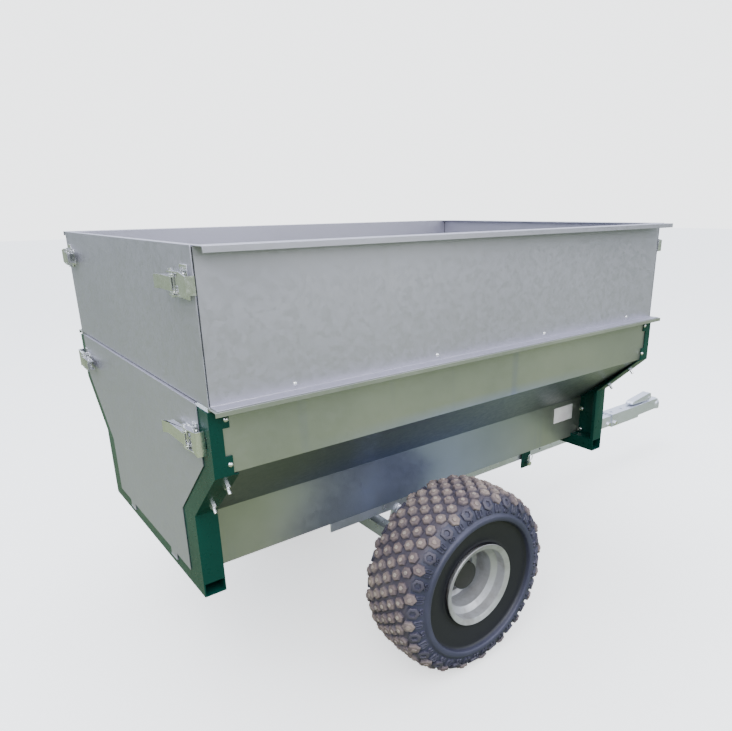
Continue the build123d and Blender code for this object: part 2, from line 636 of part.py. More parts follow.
def hub():
    """Right hub: a bored barrel with a bearing seat at each end and a round flange for the rim."""
    body = rod_y(38.5, HUB_OUT, HUB_IN, AXLE_X, WHEEL_RADIUS)
    body += rod_y(64, -478, -469, AXLE_X, WHEEL_RADIUS)
    body -= rod_y(26, HUB_OUT - 1, HUB_IN + 1, AXLE_X, WHEEL_RADIUS)
    for low in (HUB_OUT - 1, HUB_IN - BEARING_WIDTH):
        body -= rod_y(BEARING_RADIUS, low, low + BEARING_WIDTH + 1, AXLE_X, WHEEL_RADIUS)
    return body


def bearings():
    """The two ball bearings of the right hub, as plain rings."""
    rings = []
    for low in (HUB_OUT, HUB_IN - BEARING_WIDTH):
        ring = rod_y(BEARING_RADIUS, low, low + BEARING_WIDTH, AXLE_X, WHEEL_RADIUS)
        rings.append(ring - rod_y(15 + RUNNING_GAP, low - 1, low + BEARING_WIDTH + 1, AXLE_X, WHEEL_RADIUS))
    return group(rings)


def wheel_studs():
    """Four studs with cone nuts that clamp the rim's disc on the hub."""
    pieces = []
    for x, z in stud_places():
        stud = rod_y(6, -500, -478, x, z)
        pieces.append(stud + nut_y(19, -494, -481, x, z))
    return group(pieces)


def hub_cap():
    """Pressed grease cap on the outer end of the hub."""
    cap = rod_y(38.5, -546, HUB_OUT, AXLE_X, WHEEL_RADIUS)
    return cap - rod_y(36, -543, HUB_OUT + 1, AXLE_X, WHEEL_RADIUS)


# ---- Assembly ----------------------------------------------------------------------------------
def place(piece):
    return Pos(-X_MIDDLE, 0, 0) * piece


def latch_sets():
    """Latch pieces for each of the three panels: name -> (bases, right lever, right claw)."""
    gate_y, panel_y = -SLOT_Y + TONGUE_REACH, -BOX_HALF_WIDTH + CORNER_REACH
    sets = {}
    makers = (latch_base, latch_lever, latch_claw)
    gate = [on_rear(make(GATE_LATCH), GATE_REAR, gate_y, SLOT_Z) for make in makers]
    rear = [on_rear(make(PANEL_LATCH), -SHEET, panel_y, LATCH_Z) for make in makers]
    sets["tailgate"] = gate
    sets["rear_panel"] = rear
    sets["front_panel"] = [end_for_end(p) for p in rear]
    return sets


def nodes():
    """Every sub-part by node name."""
    made = {
        "tub_side_right": tub_side(),
        "tub_side_left": across(tub_side()),
        "tub_front_panel": tub_front(),
        "tub_floor": tub_floor(),
        "bearer_right": bearer(),
        "bearer_left": across(bearer()),
        "cross_member_rear": rear_member(),
        "cross_member_front": end_for_end(cross_member(FRONT_MEMBER_Z)),
        "post_rear_right": post(REAR_MEMBER_Z[1]),
        "post_rear_left": across(post(REAR_MEMBER_Z[1])),
        "post_front_right": end_for_end(post(FRONT_MEMBER_Z[1])),
        "post_front_left": across(end_for_end(post(FRONT_MEMBER_Z[1]))),
        "tub_fasteners": group([post_bolts(), rim_screws()]),
        "lock_bracket": lock_bracket(),
        "lock_pin": lock_pin(),
        "lock_clip": lock_clip(),
        "label_plate": label_plate(),
        "extension_side_right": extension_side(),
        "extension_side_left": across(extension_side()),
        "extension_rear_panel": extension_rear(),
        "extension_front_panel": extension_front(),
        "tailgate": tailgate(),
        "drawbar": drawbar(),
        "drawbar_cap": drawbar_cap(),
        "axle_beams": pair(axle_beam()),
        "spindles": pair(spindle()),
        "chassis_fasteners": group([pair(pivot_bolt()), pair(spindle_nut()), coupling_bolts()]),
        "rest_pad": rest_pad(),
        "coupling_body": coupling_body(),
        "coupling_keeper": coupling_keeper(),
        "coupling_handle": coupling_handle(),
        "coupling_pin": coupling_pin(),
    }
    for make in (tyre, rim, hub, bearings, wheel_studs, hub_cap):
        made[make.__name__ + "_right"] = make()
        made[make.__name__ + "_left"] = across(make())
    for panel, (base, lever, claw) in latch_sets().items():
        made["latch_bases_" + panel] = pair(base)
        for side, put in (("_right", lambda p: p), ("_left", across)):
            made["latch_lever_" + panel + side] = put(lever)
            made["latch_claw_" + panel + side] = put(claw)
    return made


os.makedirs("parts", exist_ok=True)
for node, piece in nodes().items():
    export_step(place(piece), f"parts/{node}.step")
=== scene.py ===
"""A single-axle tipping trailer: galvanised sheet tub and extension frame on dark green corner posts.

Metres throughout. X points forward to the coupling, Y to the left, Z up, and the ground is at zero.
The sections run from the studio through the tub, posts, panels and chassis to the wheels and latches.
"""

import json
import bmesh
import bpy
import numpy as np
from mathutils import Matrix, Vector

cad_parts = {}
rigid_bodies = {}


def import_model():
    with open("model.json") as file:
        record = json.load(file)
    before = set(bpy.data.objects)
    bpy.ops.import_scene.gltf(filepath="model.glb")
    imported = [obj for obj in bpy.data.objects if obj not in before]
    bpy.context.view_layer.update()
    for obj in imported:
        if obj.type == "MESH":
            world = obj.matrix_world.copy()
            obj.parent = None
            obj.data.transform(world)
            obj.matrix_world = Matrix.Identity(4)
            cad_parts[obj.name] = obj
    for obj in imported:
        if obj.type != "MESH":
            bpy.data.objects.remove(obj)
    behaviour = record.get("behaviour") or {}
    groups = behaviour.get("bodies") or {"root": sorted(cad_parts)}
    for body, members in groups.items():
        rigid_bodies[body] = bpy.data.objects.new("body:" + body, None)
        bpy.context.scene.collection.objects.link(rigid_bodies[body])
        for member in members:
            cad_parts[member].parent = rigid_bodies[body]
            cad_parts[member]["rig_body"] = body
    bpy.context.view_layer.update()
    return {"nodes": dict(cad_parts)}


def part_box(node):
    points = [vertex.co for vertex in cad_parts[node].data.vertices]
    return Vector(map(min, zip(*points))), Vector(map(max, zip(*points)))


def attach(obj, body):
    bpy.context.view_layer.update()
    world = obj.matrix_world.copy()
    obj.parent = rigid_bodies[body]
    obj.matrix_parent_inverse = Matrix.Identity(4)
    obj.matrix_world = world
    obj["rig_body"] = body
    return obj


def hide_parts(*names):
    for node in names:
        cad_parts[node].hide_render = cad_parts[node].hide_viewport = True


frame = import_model()

# ---- Camera ------------------------------------------------------------------------------------
# A wide view from behind the right rear corner, a little above the extension frame. The lens
# looks slightly down and forward, and is shifted so that the tub sits high in the picture.
CAMERA_AT = (-1.6172, -1.5702, 1.1950)
CAMERA_YAW, CAMERA_PITCH, CAMERA_ROLL = np.radians((51.608, -17.901, -0.689))
QUARTER_TURN = np.pi / 2

eye = bpy.data.cameras.new("corner_view")
eye.sensor_width = 36.0
eye.lens = 30.30
eye.shift_x, eye.shift_y = -0.0546, 0.0552
eye.clip_start, eye.clip_end = 0.05, 60.0
camera = bpy.data.objects.new("corner_view", eye)
turned = Matrix.Rotation(CAMERA_YAW - QUARTER_TURN, 4, "Z")
turned = turned @ Matrix.Rotation(QUARTER_TURN + CAMERA_PITCH, 4, "X")
turned = turned @ Matrix.Rotation(CAMERA_ROLL, 4, "Z")
camera.matrix_world = Matrix.Translation(CAMERA_AT) @ turned
bpy.context.scene.collection.objects.link(camera)
bpy.context.scene.camera = camera

# ---- Studio ------------------------------------------------------------------------------------
# A pale seamless floor under a soft white sky. In reflections the floor is a mown lawn and the sky
# has a dark hedge along the horizon, which gives the bare metal its olive and blue tones. One broad
# lamp stands behind the right rear corner, a weaker one to the right, and a third over the tub.
FLOOR_HALF = 30.0
FLOOR_GLOW = 1.1
SKY_STRENGTH = 2.2


def lamp(name, place, aim, size, watts, colour):
    """A square area lamp at place, facing the point aim."""
    light = bpy.data.lights.new(name, "AREA")
    light.size, light.energy, light.color = size, watts, colour
    holder = bpy.data.objects.new(name, light)
    way = Matrix.Translation(place).to_translation() - Matrix.Translation(aim).to_translation()
    holder.matrix_world = Matrix.Translation(place) @ way.to_track_quat("Z", "Y").to_matrix().to_4x4()
    bpy.context.scene.collection.objects.link(holder)


def plain_material(name, colour, roughness):
    """A Principled material with a plain colour, and its node tree and shader."""
    material = bpy.data.materials.new(name)
    material.use_nodes = True
    shader = material.node_tree.nodes["Principled BSDF"]
    shader.inputs["Base Color"].default_value = (*colour, 1)
    shader.inputs["Roughness"].default_value = roughness
    return material, material.node_tree, shader


def group_tree(name, inputs, outputs):
    """A shader node group with float, colour and vector sockets, and its two end nodes."""
    tree = bpy.data.node_groups.new(name, "ShaderNodeTree")
    for socket, kind, value in inputs:
        made = tree.interface.new_socket(socket, in_out="INPUT", socket_type="NodeSocket" + kind)
        made.default_value = value
    for socket, kind in outputs:
        tree.interface.new_socket(socket, in_out="OUTPUT", socket_type="NodeSocket" + kind)
    return tree, tree.nodes.new("NodeGroupInput"), tree.nodes.new("NodeGroupOutput")


def add(tree, kind, settings=None, **links):
    """A node with settings by attribute, and inputs by name: a value, or an output to link."""
    node = tree.nodes.new("ShaderNode" + kind)
    for key, value in (settings or {}).items():
        setattr(node, key, value)
    for key, value in links.items():
        name = key.replace("_", " ")
        socket = node.inputs[int(name[2:])] if name.startswith("at") else node.inputs[name]
        if isinstance(value, bpy.types.NodeSocket):
            tree.links.new(value, socket)
        else:
            socket.default_value = value
    return node


def ramp(tree, value, low, high, to_low=0.0, to_high=1.0):
    """A clamped straight-line change from one range of values to another."""
    reach = {"From Min": low, "From Max": high, "To Min": to_low, "To Max": to_high}
    node = add(tree, "MapRange", Value=value)
    for key, number in reach.items():
        node.inputs[key].default_value = number
    return node.outputs["Result"]


def mixed(tree, share, first, second, blend="MIX"):
    """Two colours mixed by a share."""
    node = add(tree, "Mix", {"data_type": "RGBA", "blend_type": blend})
    for place, value in ((0, share), (6, first), (7, second)):
        if isinstance(value, bpy.types.NodeSocket):
            tree.links.new(value, node.inputs[place])
        else:
            node.inputs[place].default_value = value
    return node.outputs[2]


floor_mesh = bpy.data.meshes.new("studio_floor")
square = [(x * FLOOR_HALF, y * FLOOR_HALF, 0) for x, y in ((-1, -1), (1, -1), (1, 1), (-1, 1))]
floor_mesh.from_pydata(square, [], [(0, 1, 2, 3)])
pale_floor, floor_tree, floor_shader = plain_material("pale_floor", (0.90, 0.90, 0.89), 0.8)
seen = add(floor_tree, "LightPath").outputs["Is Camera Ray"]
floor_tone = mixed(floor_tree, seen, (0.17, 0.20, 0.10, 1), (0.93, 0.93, 0.92, 1))
floor_tree.links.new(floor_tone, floor_shader.inputs["Base Color"])
glow = add(floor_tree, "Math", {"operation": "MULTIPLY"}, at0=seen, at1=FLOOR_GLOW)
floor_tree.links.new(glow.outputs[0], floor_shader.inputs["Emission Strength"])
floor_shader.inputs["Emission Color"].default_value = (1, 1, 1, 1)
floor_mesh.materials.append(pale_floor)
floor = bpy.data.objects.new("studio_floor", floor_mesh)
bpy.context.scene.collection.objects.link(floor)

sky = bpy.data.worlds.new("soft_sky")
sky.use_nodes = True
sky_tree = sky.node_tree
upward = add(sky_tree, "SeparateXYZ", Vector=add(sky_tree, "TexCoord").outputs["Generated"]).outputs["Z"]
hedge = mixed(sky_tree, ramp(sky_tree, upward, 0.10, 0.30), (0.17, 0.195, 0.205, 1), (0.80, 0.87, 1.0, 1))
seen = add(sky_tree, "LightPath").outputs["Is Camera Ray"]
sky_tone = mixed(sky_tree, seen, hedge, (1.42, 1.45, 1.48, 1))
sky_tree.links.new(sky_tone, sky_tree.nodes["Background"].inputs["Color"])
sky_tree.nodes["Background"].inputs["Strength"].default_value = SKY_STRENGTH
bpy.context.scene.world = sky
lamp("key_lamp", (-3.2, -2.6, 4.2), (0, 0, 0.6), 3.0, 190, (1.0, 0.98, 0.95))
lamp("side_lamp", (1.6, -4.4, 2.6), (0, 0, 0.6), 2.6, 70, (1.0, 1.0, 0.97))
lamp("top_lamp", (-0.4, 0.8, 4.6), (0, 0, 0.8), 2.4, 100, (0.92, 0.95, 1.0))

# ---- Tub ---------------------------------------------------------------------------------------
# Two folded side panels of hot-dip galvanised sheet, a front panel and a flat floor. The zinc is a
# satin grey with faint crystals, cloudy patches and a few rain streaks.
SHEET_EDGE = 0.0007
MERGE = 2e-6
FLAT_ANGLE = np.radians(0.5)
SHARP_ANGLE = np.radians(35)
ZINC_METALLIC = 0.75


def zinc_bloom():
    """Galvanised finish: crystals from a cell pattern, clouds and streaks from stretched noise."""
    tree, start, end = group_tree(
        "zinc_bloom",
        [
            ("Light", "Color", (0.7, 0.72, 0.76, 1)),
            ("Dark", "Color", (0.5, 0.52, 0.56, 1)),
            ("Stain", "Color", (0.4, 0.42, 0.36, 1)),
            ("Underside Shade", "Color", (0.2, 0.22, 0.2, 1)),
            ("Crystal", "Float", 0.12),
            ("Streaks", "Float", 0.3),
            ("Base Roughness", "Float", 0.4),
        ],
        [("Color", "Color"), ("Roughness", "Float"), ("Height", "Float")],
    )
    place = add(tree, "TexCoord").outputs["Object"]
    cells = add(tree, "TexVoronoi", {"feature": "F1"}, Vector=place, Scale=95.0, Randomness=1.0)
    shade = add(tree, "SeparateColor", Color=cells.outputs["Color"]).outputs["Red"]
    clouds = add(tree, "TexNoise", Vector=place, Scale=2.3, Detail=4.0, Roughness=0.55).outputs["Fac"]
    stretched = add(tree, "Mapping", Vector=place, Scale=(14.0, 14.0, 1.1)).outputs["Vector"]
    streaks = add(tree, "TexNoise", Vector=stretched, Scale=1.0, Detail=3.0).outputs["Fac"]
    fine = add(tree, "TexNoise", Vector=place, Scale=240.0, Detail=2.0).outputs["Fac"]
    crystal = add(tree, "Math", {"operation": "MULTIPLY"}, at0=shade, at1=start.outputs["Crystal"])
    patches = ramp(tree, clouds, 0.3, 0.7)
    cloudy = add(tree, "Math", {"operation": "ADD"}, at0=patches, at1=crystal.outputs[0])
    base = mixed(tree, cloudy.outputs[0], start.outputs["Dark"], start.outputs["Light"])
    run = ramp(tree, streaks, 0.62, 0.8)
    soil = add(tree, "Math", {"operation": "MULTIPLY"}, at0=run, at1=start.outputs["Streaks"])
    soiled = mixed(tree, soil.outputs[0], base, start.outputs["Stain"])
    # Painted shade: faces that turn downward are mixed towards the darker underside colour.
    facing = add(tree, "SeparateXYZ", Vector=add(tree, "TexCoord").outputs["Normal"]).outputs["Z"]
    colour = mixed(tree, ramp(tree, facing, -0.25, -0.6), soiled, start.outputs["Underside Shade"])
    rough = add(tree, "Math", {"operation": "ADD"}, at0=start.outputs["Base Roughness"])
    tree.links.new(ramp(tree, shade, 0.0, 1.0, -0.05, 0.07), rough.inputs[1])
    height = add(tree, "Math", {"operation": "MULTIPLY_ADD"}, at0=shade, at1=0.6, at2=fine)
    tree.links.new(colour, end.inputs["Color"])
    tree.links.new(rough.outputs[0], end.inputs["Roughness"])
    tree.links.new(height.outputs[0], end.inputs["Height"])
    return tree


ZINC_BLOOM = zinc_bloom()


def galvanised(name, light, dark, stain, underside_shade, crystal, streaks, roughness):
    """Galvanised steel with its own tints, crystals, streaks and painted underside shade."""
    material, tree, shader = plain_material(name, light, roughness)
    bloom = tree.nodes.new("ShaderNodeGroup")
    bloom.node_tree = ZINC_BLOOM
    for key, colour in (("Light", light), ("Dark", dark), ("Stain", stain), ("Underside Shade", underside_shade)):
        bloom.inputs[key].default_value = (*colour, 1)
    for key, value in (("Crystal", crystal), ("Streaks", streaks), ("Base Roughness", roughness)):
        bloom.inputs[key].default_value = value
    shader.inputs["Metallic"].default_value = ZINC_METALLIC
    bump = add(tree, "Bump", Strength=0.08, Distance=0.0006, Height=bloom.outputs["Height"])
    tree.links.new(bloom.outputs["Color"], shader.inputs["Base Color"])
    tree.links.new(bloom.outputs["Roughness"], shader.inputs["Roughness"])
    tree.links.new(bump.outputs["Normal"], shader.inputs["Normal"])
    return material


def body_of(node):
    """The moving body that a node belongs to."""
    return frame["nodes"][node]["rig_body"]


def dressed(node, material, edge=None, segments=2):
    """Gives a node its material. With an edge radius it shows a merged copy with rounded edges."""
    shape = frame["nodes"][node]
    if edge is None:
        shape.data.materials.clear()
        shape.data.materials.append(material)
        return shape
    copy = bpy.data.objects.new(node + "_finished", shape.data.copy())
    bpy.context.scene.collection.objects.link(copy)
    work = bmesh.new()
    work.from_mesh(copy.data)
    bmesh.ops.remove_doubles(work, verts=work.verts, dist=MERGE)
    bmesh.ops.dissolve_limit(work, angle_limit=FLAT_ANGLE, verts=work.verts, edges=work.edges)
    work.to_mesh(copy.data)
    work.free()
    copy.data.materials.clear()
    copy.data.materials.append(material)
    copy.data.polygons.foreach_set("material_index", np.zeros(len(copy.data.polygons), int))
    copy.data.shade_smooth()
    copy.data.set_sharp_from_angle(angle=SHARP_ANGLE)
    bevel = copy.modifiers.new("edge", "BEVEL")
    bevel.width, bevel.segments, bevel.limit_method = edge, segments, "ANGLE"
    bevel.angle_limit = SHARP_ANGLE
    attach(copy, body_of(node))
    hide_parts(node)
    return copy


tub_zinc = galvanised(
    "tub_zinc", (0.40, 0.42, 0.37), (0.30, 0.32, 0.29), (0.22, 0.24, 0.36), (0.16, 0.18, 0.19),
    0.10, 0.5, 0.34,
)
# A bluish tint over the middle of the lower walls, which stands for the sky mirrored in them. Each
# pair is where it is gone and where it is full: along X from the rear and the front, and up in Z.
SKY_REFLECTION_REAR, SKY_REFLECTION_FRONT, SKY_REFLECTION_TOP = (-1.05, -0.65), (0.05, -0.40), (0.735, 0.700)
tub_tree = tub_zinc.node_tree
tub_shader = tub_tree.nodes["Principled BSDF"]
tub_place = add(tub_tree, "SeparateXYZ", Vector=add(tub_tree, "TexCoord").outputs["Object"]).outputs
sky_reflection_rear = ramp(tub_tree, tub_place["X"], *SKY_REFLECTION_REAR)
sky_reflection_front = ramp(tub_tree, tub_place["X"], *SKY_REFLECTION_FRONT)
sky_reflection_top = ramp(tub_tree, tub_place["Z"], *SKY_REFLECTION_TOP)
sky_reflection = add(tub_tree, "Math", {"operation": "MULTIPLY"}, at0=sky_reflection_rear, at1=sky_reflection_front).outputs[0]
sky_reflection = add(tub_tree, "Math", {"operation": "MULTIPLY"}, at0=sky_reflection, at1=sky_reflection_top)
plain_tone = tub_shader.inputs["Base Color"].links[0].from_socket
sky_reflection_tone = mixed(tub_tree, sky_reflection.outputs[0], plain_tone, (1.0, 1.05, 1.75, 1), "MULTIPLY")
tub_tree.links.new(sky_reflection_tone, tub_shader.inputs["Base Color"])
floor_zinc = galvanised(
    "floor_zinc", (0.26, 0.28, 0.33), (0.19, 0.205, 0.24), (0.15, 0.15, 0.15), (0.06, 0.065, 0.07),
    0.14, 0.45, 0.44,
)
for side in ("right", "left"):
    dressed("tub_side_" + side, tub_zinc, SHEET_EDGE)
dressed("tub_front_panel", tub_zinc, SHEET_EDGE)
dressed("tub_floor", floor_zinc, SHEET_EDGE)

# ---- Bearers -----------------------------------------------------------------------------------
# Two angle rails under the edges of the floor, galvanised after cutting. The zinc on these thicker
# sections is brighter and smoother than on the sheet.
RAIL_EDGE = 0.0008
section_zinc = galvanised(
    "section_zinc", (0.74, 0.76, 0.86), (0.58, 0.60, 0.68), (0.46, 0.46, 0.46), (0.42, 0.45, 0.55),
    0.20, 0.30, 0.32,
)
for side in ("right", "left"):
    dressed("bearer_" + side, section_zinc, RAIL_EDGE)

# ---- Corner posts, cross members and lock bracket ------------------------------------------------
# Posts folded from 3 mm steel, welded to two box tubes, and a bracket under the front one. All of
# it is powder coated in one glossy dark green, with large soft patches of a slightly lighter tone.
COAT_EDGE = 0.0014
green_coat, green_tree, green_shader = plain_material("green_coat", (0.008, 0.085, 0.058), 0.3)


def powder_peel():
    """Powder coat: slow colour change from noise, and a fine orange-peel height."""
    tree, start, end = group_tree(
        "powder_peel",
        [("Deep", "Color", (0, 0.06, 0.04, 1)), ("Pale", "Color", (0.02, 0.12, 0.08, 1))],
        [("Color", "Color"), ("Roughness", "Float"), ("Height", "Float")],
    )
    place = add(tree, "TexCoord").outputs["Object"]
    slow = add(tree, "TexNoise", Vector=place, Scale=5.0, Detail=3.0).outputs["Fac"]
    peel = add(tree, "TexNoise", Vector=place, Scale=420.0, Detail=1.0).outputs["Fac"]
    dust = add(tree, "TexNoise", Vector=place, Scale=60.0, Detail=5.0, Roughness=0.7).outputs["Fac"]
    colour = mixed(tree, ramp(tree, slow, 0.3, 0.7), start.outputs["Deep"], start.outputs["Pale"])
    tree.links.new(colour, end.inputs["Color"])
    tree.links.new(ramp(tree, dust, 0.35, 0.75, 0.26, 0.36), end.inputs["Roughness"])
    tree.links.new(peel, end.inputs["Height"])
    return tree


peel = green_tree.nodes.new("ShaderNodeGroup")
peel.node_tree = powder_peel()
peel.inputs["Deep"].default_value = (0.0006, 0.034, 0.026, 1)
peel.inputs["Pale"].default_value = (0.0015, 0.050, 0.038, 1)
peel_bump = add(green_tree, "Bump", Strength=0.1, Distance=0.0004, Height=peel.outputs["Height"])
green_tree.links.new(peel.outputs["Color"], green_shader.inputs["Base Color"])
green_tree.links.new(peel.outputs["Roughness"], green_shader.inputs["Roughness"])
green_tree.links.new(peel_bump.outputs["Normal"], green_shader.inputs["Normal"])
green_shader.inputs["Specular IOR Level"].default_value = 0.2

for node in ("post_rear_right", "post_rear_left", "post_front_right", "post_front_left"):
    dressed(node, green_coat, COAT_EDGE, 3)
for node in ("cross_member_rear", "cross_member_front", "lock_bracket"):
    dressed(node, green_coat, COAT_EDGE, 3)

# ---- Extension frame and tailgate --------------------------------------------------------------
# Four flat panels standing on the rim, and the gate below them, from the same galvanised sheet.
# The outer faces are a cool grey, with fainter clouds than the tub. The side panels stop just short
# of the end panels, and a thin black strip in the gap at every corner is painted shade.
panel_zinc = galvanised(
    "panel_zinc", (0.475, 0.465, 0.54), (0.440, 0.430, 0.50), (0.40, 0.40, 0.42), (0.30, 0.31, 0.33),
    0.08, 0.30, 0.42,
)
CORNER_GAP = 0.0018
# Inset, thickness and shortening of the black strips of painted shade in the corner gaps.
GAP_SHADOW_INSET, GAP_SHADOW_THICK, GAP_SHADOW_SHORT = 0.0004, 0.0012, 0.003


def grid(points, wrap_rows=False, wrap_columns=False):
    """Vertices and quads of a surface sampled as points[row, column], closed on itself where asked."""
    rows, columns = points.shape[:2]
    row, column = np.meshgrid(
        np.arange(rows if wrap_rows else rows - 1),
        np.arange(columns if wrap_columns else columns - 1),
        indexing="ij",
    )
    row, column = row.ravel(), column.ravel()
    next_row, next_column = (row + 1) % rows, (column + 1) % columns
    quads = [row * columns + column, row * columns + next_column]
    quads += [next_row * columns + next_column, next_row * columns + column]
    return points.reshape(-1, 3), np.stack(quads, axis=1)


def moulding(name, surfaces, material, body, smooth=32, mark=None):
    """One piece from several (vertices, faces) surfaces; mark is a value for each vertex."""
    offsets = np.cumsum([0] + [len(vertices) for vertices, _ in surfaces])
    vertices = np.vstack([vertices for vertices, _ in surfaces])
    faces = [face for (_, group), start in zip(surfaces, offsets) for face in (group + start).tolist()]
    mesh = bpy.data.meshes.new(name)
    mesh.from_pydata(vertices.tolist(), [], faces)
    work = bmesh.new()
    work.from_mesh(mesh)
    bmesh.ops.recalc_face_normals(work, faces=work.faces)
    work.to_mesh(mesh)
    work.free()
    if mark is not None:
        mesh.attributes.new("raised", "FLOAT", "POINT").data.foreach_set("value", mark.astype(np.float32))
    mesh.shade_smooth()
    mesh.set_sharp_from_angle(angle=np.radians(smooth))
    mesh.materials.append(material)
    piece = bpy.data.objects.new(name, mesh)
    bpy.context.scene.collection.objects.link(piece)
    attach(piece, body)
    return piece


def bar(low, high):
    """A box between two opposite corners."""
    corners = [(x, y, z) for x in (low[0], high[0]) for y in (low[1], high[1]) for z in (low[2], high[2])]
    faces = [(0, 1, 3, 2), (4, 6, 7, 5), (0, 4, 5, 1), (2, 3, 7, 6), (0, 2, 6, 4), (1, 5, 7, 3)]
    return np.array(corners), np.array(faces)


for node in ("extension_rear_panel", "extension_front_panel", "tailgate"):
    dressed(node, panel_zinc, SHEET_EDGE)
for node in ("extension_side_right", "extension_side_left"):
    panel = dressed(node, panel_zinc, SHEET_EDGE)
    places = np.array([vertex.co for vertex in panel.data.vertices])
    ends = places[:, 0].min() + CORNER_GAP, places[:, 0].max() - CORNER_GAP
    places[:, 0] = np.clip(places[:, 0], *ends)
    panel.data.vertices.foreach_set("co", places.ravel())
# The thin black strips in the corner gaps are painted shade, standing for the shadow in each gap.
gap_shadow_black = plain_material("gap_shadow_black", (0.03, 0.03, 0.036), 0.8)[0]
rear_low, rear_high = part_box("extension_rear_panel")
side_low, side_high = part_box("extension_side_right")
half = rear_high[1] - GAP_SHADOW_INSET
foot, head = rear_low[2] + GAP_SHADOW_SHORT, rear_high[2] - GAP_SHADOW_SHORT
gap_shadow_bars = [
    bar((x, y, foot), (x + CORNER_GAP, y + GAP_SHADOW_THICK, head))
    for x in (side_low[0], side_high[0] - CORNER_GAP) for y in (-half, half - GAP_SHADOW_THICK)
]
moulding("corner_gap_shadows", gap_shadow_bars, gap_shadow_black, "tub")

# ---- Label -------------------------------------------------------------------------------------
# A blank film label on the lower wall of the tub, near the front corner. It has a faint mottled
# tone and no print.
label_film, label_tree, label_shader = plain_material("label_film", (0.78, 0.72, 0.74), 0.5)
label_place = add(label_tree, "TexCoord").outputs["Object"]
label_noise = add(label_tree, "TexNoise", Vector=label_place, Scale=30.0, Detail=4.0).outputs["Fac"]
label_colour = mixed(
    label_tree, ramp(label_tree, label_noise, 0.3, 0.7), (0.72, 0.65, 0.68, 1), (0.82, 0.78, 0.79, 1)
)
label_tree.links.new(label_colour, label_shader.inputs["Base Color"])
dressed("label_plate", label_film)

# ---- Fasteners and latch brackets --------------------------------------------------------------
# Every bolt and pin, and the brackets that the latches swing on. Bright zinc plate: a shiny, nearly
# white metal with a cloudy tone and roughness.
BRACKET_EDGE = 0.0006
bright_zinc, bright_tree, bright_shader = plain_material("bright_zinc", (0.80, 0.80, 0.82), 0.2)
bright_place = add(bright_tree, "TexCoord").outputs["Object"]
bright_haze = add(bright_tree, "TexNoise", Vector=bright_place, Scale=110.0, Detail=5.0).outputs["Fac"]
bright_tone = mixed(
    bright_tree, ramp(bright_tree, bright_haze, 0.3, 0.7), (0.76, 0.76, 0.76, 1), (0.90, 0.90, 0.93, 1)
)
bright_tree.links.new(bright_tone, bright_shader.inputs["Base Color"])
bright_rough = ramp(bright_tree, bright_haze, 0.3, 0.75, 0.14, 0.28)
bright_tree.links.new(bright_rough, bright_shader.inputs["Roughness"])
bright_bump = add(bright_tree, "Bump", Strength=0.05, Distance=0.0004, Height=bright_haze)
bright_tree.links.new(bright_bump.outputs["Normal"], bright_shader.inputs["Normal"])
bright_shader.inputs["Metallic"].default_value = 1.0

for node in ("tub_fasteners", "chassis_fasteners", "lock_pin", "lock_clip", "coupling_pin"):
    dressed(node, bright_zinc)
for panel in ("tailgate", "rear_panel", "front_panel"):
    dressed("latch_bases_" + panel, bright_zinc, BRACKET_EDGE)

# ---- Chassis -----------------------------------------------------------------------------------
# A square drawbar, an axle of two box tubes welded across it, pivot uprights and spindles, hot-dip
# galvanised as one weldment. The coupling is pressed from the same bright steel. The weld seams are
# rippled half-round beads, with the zinc over them.
SECTION_EDGE, PLASTIC_EDGE = 0.0012, 0.0015
BEAM_TUBE, BEAM_LIFT, BAR_TUBE = 0.040, 0.019, 0.050
BEAD_RADIUS, BEAD_RIPPLE, BEAD_SWELL = 0.0035, 0.0022, 0.14
BEAD_INSET = 0.002


def seam(start, end):
    """A weld bead from start to end: a tube whose radius swells once for each ripple."""
    start, end = np.array(start), np.array(end)
    length = np.linalg.norm(end - start)
    share = np.linspace(0, 1, max(int(length / BEAD_RIPPLE * 4), 8))[:, None, None]
    turn = np.linspace(0, 2 * np.pi, 8, endpoint=False)[None, :, None]
    way = (end - start) / length
    first = np.cross(way, np.roll(np.eye(3)[np.argmax(np.abs(way))], 1))
    second = np.cross(way, first)
    swell = 1 + BEAD_SWELL * np.sin(2 * np.pi * share * length / BEAD_RIPPLE)
    taper = np.clip(np.minimum(share, 1 - share) * length / BEAD_RADIUS, 0.15, 1) ** 0.5
    round_way = np.cos(turn) * first + np.sin(turn) * second
    middle = start + share * (end - start)
    return grid(middle + BEAD_RADIUS * swell * taper * round_way, wrap_columns=True)


for node in ("drawbar", "axle_beams", "spindles", "coupling_body", "coupling_handle", "coupling_keeper"):
    dressed(node, section_zinc, SECTION_EDGE, 3)
bar_low, bar_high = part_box("drawbar")
spindle_low, spindle_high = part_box("spindles")
axle_x = (spindle_low[0] + spindle_high[0]) / 2
tube_low, tube_high = bar_low[2] + BEAM_LIFT, bar_low[2] + BAR_TUBE
beads = []
for y in (bar_low[1], bar_high[1]):
    for x in (axle_x - BEAM_TUBE / 2, axle_x + BEAM_TUBE / 2):
        beads.append(seam((x, y, tube_low + BEAD_INSET), (x, y, tube_high - BEAD_INSET)))
    reach = BEAM_TUBE / 2 - BEAD_INSET
    beads.append(seam((axle_x - reach, y, tube_low), (axle_x + reach, y, tube_low)))
moulding("chassis_welds", beads, section_zinc, "chassis")
black_plastic, black_tree, black_shader = plain_material("black_plastic", (0.02, 0.02, 0.02), 0.45)
black_place = add(black_tree, "TexCoord").outputs["Object"]
black_grain = add(black_tree, "TexNoise", Vector=black_place, Scale=500.0)
black_bump = add(black_tree, "Bump", Strength=0.15, Distance=0.0005, Height=black_grain.outputs["Fac"])
black_tree.links.new(black_bump.outputs["Normal"], black_shader.inputs["Normal"])
dressed("drawbar_cap", black_plastic, PLASTIC_EDGE)
